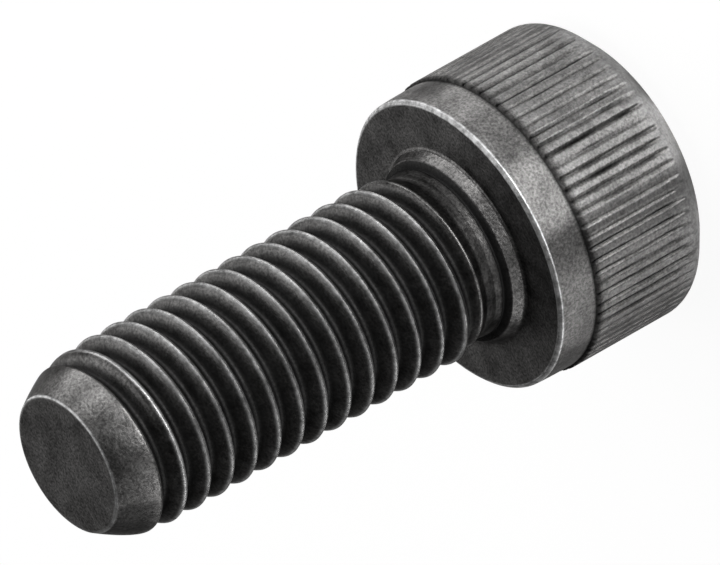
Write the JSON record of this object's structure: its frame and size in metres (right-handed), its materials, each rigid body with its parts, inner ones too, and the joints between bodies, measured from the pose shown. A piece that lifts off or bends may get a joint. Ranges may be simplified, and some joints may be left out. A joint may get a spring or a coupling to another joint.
{
  "type": "cheese head screw",
  "caption": "Steel screw with a tall cylindrical knurled head, a hexagon socket, a short plain neck and a metric thread with a coned tip.",
  "frame": {"origin": "centre of the head's top face, which is the face that the screw stands on", "axes": "+Z along the screw's axis from the head towards the tip of the thread; +X square to one pair of the socket's flats"},
  "size_m": [0.0162, 0.016, 0.035],
  "materials": {
    "black_steel": "satin"
  },
  "bodies": {
    "root": {"screw": "black_steel"}
  },
  "joints": []
}
